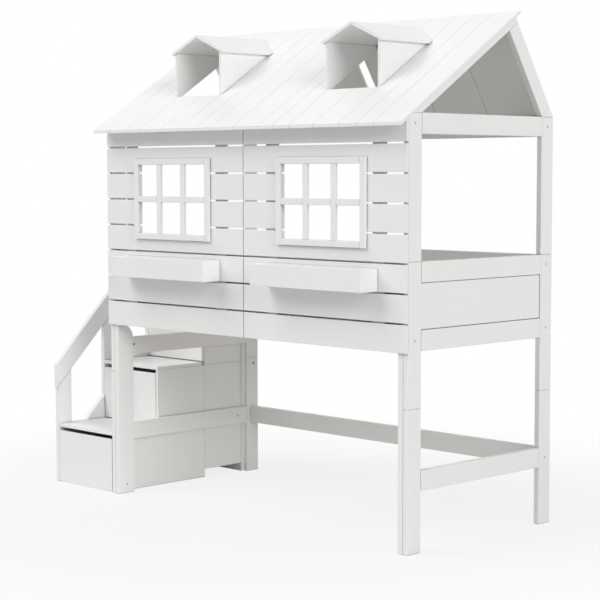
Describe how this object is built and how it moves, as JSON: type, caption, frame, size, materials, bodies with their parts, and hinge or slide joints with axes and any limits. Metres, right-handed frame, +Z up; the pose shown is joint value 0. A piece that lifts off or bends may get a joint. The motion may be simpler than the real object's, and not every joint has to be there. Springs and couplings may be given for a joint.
{
  "type": "loft bed",
  "caption": "White house-shaped wooden loft bed with planked front wall, windows, flower boxes, pitched roof with dormers and a drawer staircase.",
  "frame": {"origin": "middle of the bounding box's base, on the floor", "axes": "+X along the bed, away from the staircase; +Y from the planked front to the back; +Z up"},
  "size_m": [2.596, 1.149, 2.4068],
  "materials": {
    "white_lacquered_wood": "satin white lacquer",
    "bare_pine": "planed, untreated",
    "bolt_steel": "zinc plated"
  },
  "bodies": {
    "bed": {"back_bed_rail": "white_lacquered_wood", "back_guard_rail": "white_lacquered_wood", "back_panel": "white_lacquered_wood", "back_roof_boards": "white_lacquered_wood", "back_stretcher": "white_lacquered_wood", "back_top_plate": "white_lacquered_wood", "bed_slats": "bare_pine", "drawer_runners": "bare_pine", "front_bed_rail": "white_lacquered_wood", "front_guard": "white_lacquered_wood", "front_planks_left": "white_lacquered_wood", "front_planks_right": "white_lacquered_wood", "front_post_battens": "white_lacquered_wood", "front_roof_boards_left": "white_lacquered_wood", "front_roof_boards_right": "white_lacquered_wood", "front_top_plate": "white_lacquered_wood", "gable_rails": "white_lacquered_wood", "left_back_post": "white_lacquered_wood", "left_back_rafter": "white_lacquered_wood", "left_bed_rail": "white_lacquered_wood", "left_dormer_roof": "white_lacquered_wood", "left_dormer_walls": "white_lacquered_wood", "left_end_guard": "white_lacquered_wood", "left_flower_box": "white_lacquered_wood", "left_front_post": "white_lacquered_wood", "left_front_rafter": "white_lacquered_wood", "left_step_rail": "white_lacquered_wood", "left_stretcher": "white_lacquered_wood", "left_window": "white_lacquered_wood", "right_back_post": "white_lacquered_wood", "right_back_rafter": "white_lacquered_wood", "right_bed_rail": "white_lacquered_wood", "right_dormer_roof": "white_lacquered_wood", "right_dormer_walls": "white_lacquered_wood", "right_end_panel": "white_lacquered_wood", "right_flower_box": "white_lacquered_wood", "right_front_post": "white_lacquered_wood", "right_front_rafter": "white_lacquered_wood", "right_guard_rail": "white_lacquered_wood", "right_stretcher": "white_lacquered_wood", "right_window": "white_lacquered_wood", "roof_purlins": "white_lacquered_wood", "slat_ledgers": "white_lacquered_wood", "stair_back": "white_lacquered_wood", "stair_divider": "white_lacquered_wood", "stair_handrail": "white_lacquered_wood", "stair_posts": "white_lacquered_wood", "stair_side_boards": "white_lacquered_wood", "stair_side_front": "white_lacquered_wood", "stair_side_rear": "white_lacquered_wood", "tread_1": "white_lacquered_wood", "tread_2": "white_lacquered_wood", "tread_3": "white_lacquered_wood", "wall_battens": "white_lacquered_wood"},
    "lower_drawer": {"lower_drawer_front": "white_lacquered_wood", "lower_drawer_box": "white_lacquered_wood"},
    "middle_drawer": {"middle_drawer_front": "white_lacquered_wood", "middle_drawer_box": "white_lacquered_wood"},
    "upper_drawer": {"upper_drawer_front": "white_lacquered_wood", "upper_drawer_box": "white_lacquered_wood"}
  },
  "joints": [
    {"name": "lower_drawer_slide", "type": "slide", "parent": "bed", "child": "lower_drawer", "axis": [0, -1, 0], "range_m": [0, 0.42]},
    {"name": "middle_drawer_slide", "type": "slide", "parent": "bed", "child": "middle_drawer", "axis": [0, -1, 0], "range_m": [0, 0.19]},
    {"name": "upper_drawer_slide", "type": "slide", "parent": "bed", "child": "upper_drawer", "axis": [0, -1, 0], "range_m": [0, 0.17]}
  ]
}
